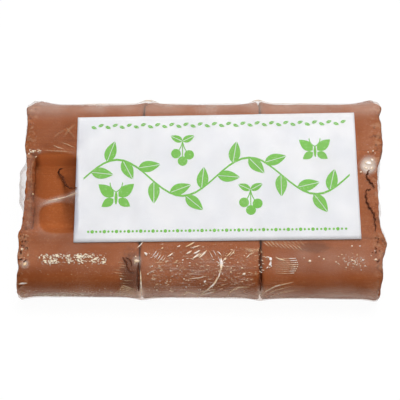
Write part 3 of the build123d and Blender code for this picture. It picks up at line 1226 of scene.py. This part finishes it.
def clay_roll(line, width, lift):
    """A rounded worm of clay along a line in the picture, laid on the film a lift above it in millimetres."""
    ends = [Vector(p) for p in line]
    steps = 4 * (len(ends) - 1)
    shape = bmesh.new()
    bmesh.ops.create_cone(shape, cap_ends=True, cap_tris=False, segments=7, radius1=1, radius2=1, depth=1)
    bmesh.ops.subdivide_edges(shape, cuts=steps - 1,
                              edges=[e for e in shape.edges if abs(e.verts[0].co.z - e.verts[1].co.z) > 0.5])
    for v in shape.verts:
        along = max(0.0, min(0.9999, v.co.z + 0.5)) * (len(ends) - 1)
        leg = int(along)
        a, b = ends[leg], ends[leg + 1]
        run = (b - a).normalized()
        taper = math.sin(math.pi * (0.08 + 0.84 * (v.co.z + 0.5))) ** 0.5
        at = a.lerp(b, along - leg) + Vector((-run.y, run.x)) * v.co.x * width / 2 * taper
        spot, normal = on_film(at.x, at.y)
        if spot is None:
            shape.free()
            return
        v.co = spot + normal * millimetre * (lift + v.co.y * width * 0.22 * taper)
    bmesh.ops.recalc_face_normals(shape, faces=shape.faces)
    add_shape(crumbs_and_shade, shape)


clay_roll(arch_curl, 2.2, 0.3)
for line, width in torn_and_shade_rolls:
    clay_roll(line, width, 0.1)
random.seed(3)
for count, across, down in crumb_fields:
    for _ in range(count):
        x, y = random.uniform(*across), random.uniform(*down)
        turn, long = random.uniform(0, math.tau), random.uniform(1.0, 2.2)
        end = (x + long * math.cos(turn), y + long * math.sin(turn))
        clay_roll([(x, y), ((x + end[0]) / 2, (y + end[1]) / 2), end], random.uniform(0.7, 1.5), 0.05)
print("crumbs:", len(crumbs_and_shade.verts), "points")

# %% [markdown]
# ## Pleats of the middle foot
# The toe of the middle foot is where most film was left over. A star of pleats stands on it, dashes slant
# over the roll, and hundreds of fine short lines run along it. The large ones are drawn one by one, as a line
# with its width in pixels, its height in millimetres and how strongly it shows. The fine ones are scattered.

# %% Pleats of the middle foot
# start of each dash, how far it runs and rises in the picture, and its width
dashes = (
    (152, 257, 5, -7, 0.7), (154, 259, 5, -7, 0.9), (157, 260, 4, -6, 0.7), (159, 261, 5, -6, 0.8),
    (161.5, 262, 4, -5, 0.6), (167, 257, 6.5, -4.5, 1.5), (161, 249, 2, -2, 1.1), (177, 247, 3.5, -1.8, 1.2),
    (185, 247, 10, -5, 1.3), (191, 248, 10, -3, 1.1), (186, 254, 6, -3.5, 1.7), (193, 254, 7.5, -4, 1.7),
    (192, 259, 8, -6, 1.6), (199, 258, 8, -8, 1.8), (197, 257, 5, -4, 0.8), (217, 251, 5, 5, 0.8),
    (226, 257, 6, -6, 0.9), (229, 257, 6, -7, 0.7), (246, 258, 4, -4, 1.0), (137, 248, 6, -6, 1.1),
    (144, 252, 3, 4, 1.6), (213, 250, 3, 6, 0.6), (209, 251, 4, 8, 0.5), (230, 249, 4, 2, 0.6),
)
star, star_tips = (221, 264), ((216, 261), (217, 266), (226, 262), (225, 267), (218, 256), (226, 257))
middle_folds = (
    ([(221, 258), (221.5, 264), (221, 270)], 2.6, 0.5, 1.2),
    ([(221, 268), (219, 276), (214, 284), (207, 290), (200, 294.5)], 1.4, 0.4),
    *(([star, tip], 0.6) for tip in star_tips),
    ([(199, 295), (208, 293), (217, 291)], 1.3, 0.3, 0.7),
    ([(200, 291.5), (209, 290), (216, 289)], 0.9, 0.25, 0.6),
    ([(188, 279), (198, 278), (207, 276)], 0.9, 0.25, 0.7),
    ([(180, 297), (186, 292.5), (190, 292), (196, 294.5), (200, 297)], 1.6, 0.3, 0.55),
    ([(226, 298), (231, 291), (238, 287.5), (250, 287)], 1.6, 0.3, 0.5),
)
fine_lines, fine_across, fine_down = 230, (148, 256), (270, 11)
middle_glitter = (60, (even, 145, 258), (even, 247, 292), (0.5, 0.9), (0.5, 1))
random.seed(5)
for x, y, run, rise, width in dashes:
    pleat([(x, y), (x + run * 0.5 + 0.4, y + rise * 0.5), (x + run, y + rise)], width * 0.9)
for fold in middle_folds:
    pleat(*fold)
for _ in range(fine_lines):
    x, y = random.uniform(*fine_across), random.gauss(*fine_down)
    long = random.uniform(1.0, 4.5) * random.uniform(0.7, 1.4)
    rise = random.uniform(-0.6, 0.9)
    pleat([(x, y), (x + long / 2, y - rise * 0.7), (x + long, y - rise)], random.uniform(0.4, 0.8), 0.3,
          random.uniform(0.2, 0.85))
glitter(*middle_glitter)
print("folds:", len(folds.verts), "points")

# %% [markdown]
# ## Pleats at the joints and on the outer feet
# The film is pinched where it spans a joint. Beside the second joint it made a comb of straight ribs whose
# tips carry painted glints of the lamp, a bright hooked fold with painted highlights, and three folds that
# sweep in from the lower edge.

# %% Comb and folds beside the second joint
first_joint_line = [(140.5, 270), (141, 283), (141.5, 297)]
comb_left, comb_middle, comb_tip, comb_top, comb_pitch = 272, 285, 298.5, 258.5, 2.1
hooked_folds = (
    ([(264.5, 257.6), (268, 257), (271.5, 258.8)], 1.2, 0.4, 0.8),
    ([(265.5, 259.2), (268.5, 258.8)], 0.7, 0.3, 0.6),
    ([(270.2, 257), (271.6, 260.5)], 1.8, 0.5, 1.1),
    ([(271, 261), (270.2, 264), (270.9, 266)], 2.0, 0.5, 1.1),
)
hook_glints = ((270.6, 259.5, 1.8, 0.8, 30), (269.9, 264.4, 1.9, 0.7, 60), (271.2, 266.2, 1.0, 0.7, 10))
sweeping_folds = (
    ([(266, 268.6), (268.6, 266.4)], 0.9, 0.3, 0.9),
    ([(268.4, 267.8), (271, 267)], 0.7, 0.3, 0.7),
    ([(275.5, 257), (279, 259), (285, 260.2)], 1.1),
    ([(258, 297), (266, 291), (276, 286), (294, 282)], 1.2, 0.3, 0.6),
    ([(262, 297), (274, 290.5), (292, 286)], 1.0, 0.3, 0.4),
    ([(268, 297), (282, 292), (298, 290)], 1.6, 0.3, 0.25),
)
pleat(first_joint_line, 1.2, 0.4)
for row in range(8):
    y, tip = comb_top + row * comb_pitch, comb_tip - 0.25 * (row - 3) ** 2
    pleat([(comb_left + abs(row - 4), y), (comb_middle, y + 0.3), (tip, y - 0.2)], 0.6, 0.2, 0.4)
    pleat([(comb_middle + 3 + row % 3, y + 0.2), (tip, y - 0.2)], 0.7, 0.3, 0.8)
    glint(tip - 1, y - 0.2, 1.0, 0.6)
for fold in hooked_folds:
    pleat(*fold)
for place in hook_glints:
    glint(*place)
for fold in sweeping_folds:
    pleat(*fold)

# %% Fine lines round both joints
corner_streak = [(18.4, 284.2), (21.5, 283.4), (27.5, 283)]
golden_fans = (
    (9, [(262, 241), (270, 247)], [(4.2, 0.4), (4.2, 0.5)], 0.6, 0.12, 0.55),
    (9, [(266, 240.5), (271, 244.5)], [(4.2, 0), (4.2, 0.2)], 0.6, 0.12, 0.4),
    (7, [(243, 247), (254, 254)], [(2.6, 0.3), (1.2, -0.6)], 0.6, 0.12, 0.5),
)
low_fan = (6, [(109, 296), (122, 294.5), (136, 297)], [(2.5, -1.5), (0, -1.9), (0, -1.4)], 1.1, 0.2, 0.45)
second_joint_across, second_joint_top, second_joint_pitch = (256.5, 261.5), 248, 2.1
left_ribs_across, left_ribs_top, left_ribs_pitch = (112, 122), 262, 2.6
for golden in golden_fans:
    fan(*golden)
for row in range(13):
    x = random.uniform(*second_joint_across)
    y = second_joint_top + row * second_joint_pitch + random.uniform(-1, 1)
    end = (x + random.uniform(1.5, 4.5), y + random.uniform(-1.8, 1.8))
    pleat([(x, y), end], random.uniform(0.5, 1.0), 0.3, random.uniform(0.5, 1.1))
fan(*low_fan)
for row in range(10):
    x, y = random.uniform(*left_ribs_across), left_ribs_top + row * left_ribs_pitch
    pleat([(x, y), (x + random.uniform(3, 12), y + random.uniform(0.5, 2))], 0.5, 0.1, 0.35)
pleat(corner_streak, 1.4, 0.4)
print("folds:", len(folds.verts), "points")

# %% [markdown]
# ## Pleats and glints beside the card
# Left of the card the film runs in a few long folds round the two clear windows, with soft swirls over the
# heel. Single pinches carry painted glints on every foot, and a glitter of tiny painted glints lies on the
# toes.

# %% Pleats and glints beside the card
left_folds = (
    ([(44, 150), (54, 151), (63, 151.2), (73, 152.5)], 0.7, 0.2, 0.4),
    ([(53, 145), (58, 147.5), (64, 149)], 0.9, 0.15, 0.5),
    ([(61, 142), (68, 144.5), (75, 148)], 0.7, 0.15, 0.4),
    ([(64, 136.5), (69, 129.5), (75.5, 124)], 2.2, 0.1, 0.13),
    ([(66, 127), (70, 132), (75, 138)], 1.8, 0.1, 0.1),
    ([(53, 138.5), (59, 133), (68, 128.5)], 1.8, 0.1, 0.1),
    ([(36, 157), (32.5, 163), (31, 172), (31.5, 184), (33, 195)], 0.6, 0.15, 0.2),
    ([(48, 200.5), (56, 199.5), (66, 197), (76, 193)], 1.3, 0.3, 0.8),
)
# place and size of each single pinch, a painted glint
pinch_glints = (
    (137, 261, 2.9), (135.6, 256.5, 1.2), (134.8, 263, 1.0), (146, 253.5, 2.0), (205, 281.5, 1.8),
    (244, 274, 1.9), (231, 272, 1.1), (242, 268, 1.2), (310, 261, 2.2), (324, 259, 1.3), (319, 256.5, 1.0),
    (336, 262, 1.1), (343, 259, 0.8), (348, 265, 1.0), (352, 260, 1.3), (355, 262, 1.0), (363, 260, 1.2),
    (365, 266, 0.8), (361, 270, 0.8), (346, 255, 0.7), (352, 246, 1.3), (360, 246, 1.2), (357, 255, 0.7),
    (376, 259.5, 2.0), (375, 251, 0.9), (368, 152, 0.8), (373, 151, 1.1), (375, 153, 0.9), (369, 163, 4.2),
    (366, 168, 2.5), (371.5, 168, 2.4), (372, 160, 2.6), (361, 172, 1.3), (25, 264, 2.3), (22, 249, 1.8),
    (33, 194, 1.3), (36, 157, 1.0), (31, 152, 1.2), (29, 154, 1.0), (35, 151, 0.9), (39, 150.5, 0.9),
    (183, 260, 1.3), (166, 262, 1.2), (225, 259, 1.6), (304, 258, 0.8), (148, 274, 1.0), (177, 266, 0.9),
    (186, 287, 1.1), (184, 279, 0.9), (157, 290, 0.9), (121, 279, 0.9),
)
# how many painted glints, where across and down, their sizes, how strongly they show, and how flat they are
glitter_fields = (
    (34, (bunched, 354, 8), (bunched, 262, 4), (0.45, 0.95), (0.5, 1.0)),
    (26, (even, 20, 29), (even, 234, 268), (0.5, 1.1), (0.15, 0.5)),
    (90, (even, 36, 107), (bunched, 262, 9), (0.35, 0.6), (0.3, 0.9)),
    (130, (even, 20, 112), (bunched, 292.8, 1.9), (0.45, 0.75), (0.35, 0.9), 0.7),
)
for fold in left_folds:
    pleat(*fold)
for px, py, size in pinch_glints:
    glint(px, py, size, random.uniform(0.6, 0.9), random.uniform(-40, 40))
for field in glitter_fields:
    glitter(*field)
print("folds:", len(folds.verts), "points")

# %% [markdown]
# ## Folds that the photograph doesn't show
# The back and the ends are out of sight, so the folds there are a guess at how such film shrinks: a few long
# pleats along the row, short ones across each joint, and gathers that fan out from the middle of both ends,
# where the tube of film was drawn shut. These are given in the millimetres of the bases and drop onto the
# nearest film.

# %% A crease on the nearest film
def crease(start, end, width, height=0.25, strength=0.6, bow=0.0):
    """Lay a tapered strip from start to end on the nearest film, all in millimetres of the bases."""
    a, b = to_world @ Vector(start), to_world @ Vector(end)
    run = b - a
    outward = film_tree.find_nearest((a + b) / 2)[1]
    cross = run.cross(outward).normalized()

    def place_at(along, across):
        """The nearest film at a share of the run, moved sideways by a share of half the width."""
        sideways = across * width * millimetre / 2 + bow * run.length * math.sin(math.pi * along)
        return film_tree.find_nearest(a + run * along + cross * sideways)[:2]

    steps = max(4, int(run.length / (1.2 * millimetre)))
    lay_strip(steps, place_at, lambda middle: outward, height, strength, 0.4)


# %% Folds on the back and gathers at the ends
behind, beyond_end = 103, 86
joint_rows, joint_top, joint_pitch = 14, -10, 2.6
long_folds, long_fold_end = 26, 79
gathers_per_end, gather_middle = 18, (57, -21)


def round_the_middle(side, angle, reach, wide):
    """A place beyond a row's end, at a reach from the middle of the gathers, which are wider than high."""
    u = gather_middle[0] + reach * math.cos(angle) * wide
    return (side * beyond_end, u, gather_middle[1] + reach * math.sin(angle) * 0.8)


for joint in joints:
    for row in range(joint_rows):
        n = joint_top - joint_pitch * row + random.uniform(-0.8, 0.8)
        x, reach = joint + random.uniform(-1.5, 1.5), random.uniform(1.5, 6)
        end = (x + reach, behind, n + random.uniform(-1.5, 1.5))
        crease((x - reach, behind, n), end, random.uniform(0.4, 0.8))
for _ in range(long_folds):
    x, n, long = random.uniform(-74, 60), random.uniform(-50, -2), random.uniform(6, 32)
    end = (min(x + long, long_fold_end), behind, n + random.uniform(-2, 2))
    width, strength = random.uniform(0.35, 0.7), random.uniform(0.25, 0.6)
    crease((x, behind, n), end, width, 0.2, strength, random.uniform(-0.05, 0.05))
for side in (-1, 1):
    for index in range(gathers_per_end):
        angle = math.tau * index / gathers_per_end + random.uniform(-0.12, 0.12)
        start = round_the_middle(side, angle, random.uniform(3, 9), 1.3)
        end = round_the_middle(side, angle, random.uniform(14, 24), 1.5)
        width, strength = random.uniform(0.6, 1.3), random.uniform(0.4, 0.9)
        crease(start, end, width, 0.4, strength, random.uniform(-0.04, 0.04))
print("folds:", len(folds.verts), "points")

# %% [markdown]
# ## Folded film
# Doubled film is thicker than the rest, so it hides more of what is behind it and shines; its pale colour is
# also a painted highlight of the lamp on each fold and glint. Weak folds let the warm clay through and look
# golden, strong ones are white. The strength kept for each point says which.

# %% Folded film and painted highlight: material and piece
fold_highlight_gold, fold_highlight_white = colour(250, 214, 166), colour(252, 248, 248)
folded_film_and_highlight, tree = blank_material("folded_film_and_highlight")
spot = bases_position(tree)
strong = painted(tree, "shown")
thick = product(tree, ramp(tree, grain_at(tree, spot, 1.6), -0.2, 0.1, 0.6, 1.0), strong)
whiter = product(tree, ramp(tree, grain_at(tree, spot, 5.0), -0.15, 0.15), ramp(tree, strong, 0.35, 0.8))
fold_highlight_tone = mix(tree, whiter, fold_highlight_gold, fold_highlight_white)
glossy = put(tree, "ShaderNodeBsdfPrincipled", {"Base Color": fold_highlight_tone, "Roughness": 0.3}).outputs[0]
see_through = put(tree, "ShaderNodeBsdfTransparent").outputs[0]
finish_material(folded_film_and_highlight, blend(tree, thick, see_through, glossy))
pleats_and_highlights = finish_piece("film_pleats_and_highlights", folds, folded_film_and_highlight)
shown = pleats_and_highlights.data.attributes.new("shown", "FLOAT", "POINT")
shown.data.foreach_set("value", fold_strength)

# %% [markdown]
# ## Torn clay
# A fresh tear is rougher than the skin and lies in its own shadow, so the curls and crumbs are painted a
# darker brown, a painted shade, with deep bumps. The same dark brown in the joints is painted shade.

# %% Torn clay and painted shade: material and piece
torn_shade_dark, torn_brown = colour(70, 34, 20), colour(116, 62, 36)
torn_clay_and_shade, tree = blank_material("torn_clay_and_shade")
spot = bases_position(tree)
torn_tone = mix(tree, ramp(tree, grain_at(tree, spot, 0.9), -0.15, 0.2), torn_shade_dark, torn_brown)
torn_bumps = bumps(tree, grain_at(tree, spot, 0.5), 0.6, 0.0003)
finish_material(torn_clay_and_shade, skin_shader(tree, torn_tone, 0.85, torn_bumps, clay_shine))
crumb_and_shade_piece = finish_piece("clay_crumbs_and_joint_shade", crumbs_and_shade, torn_clay_and_shade)
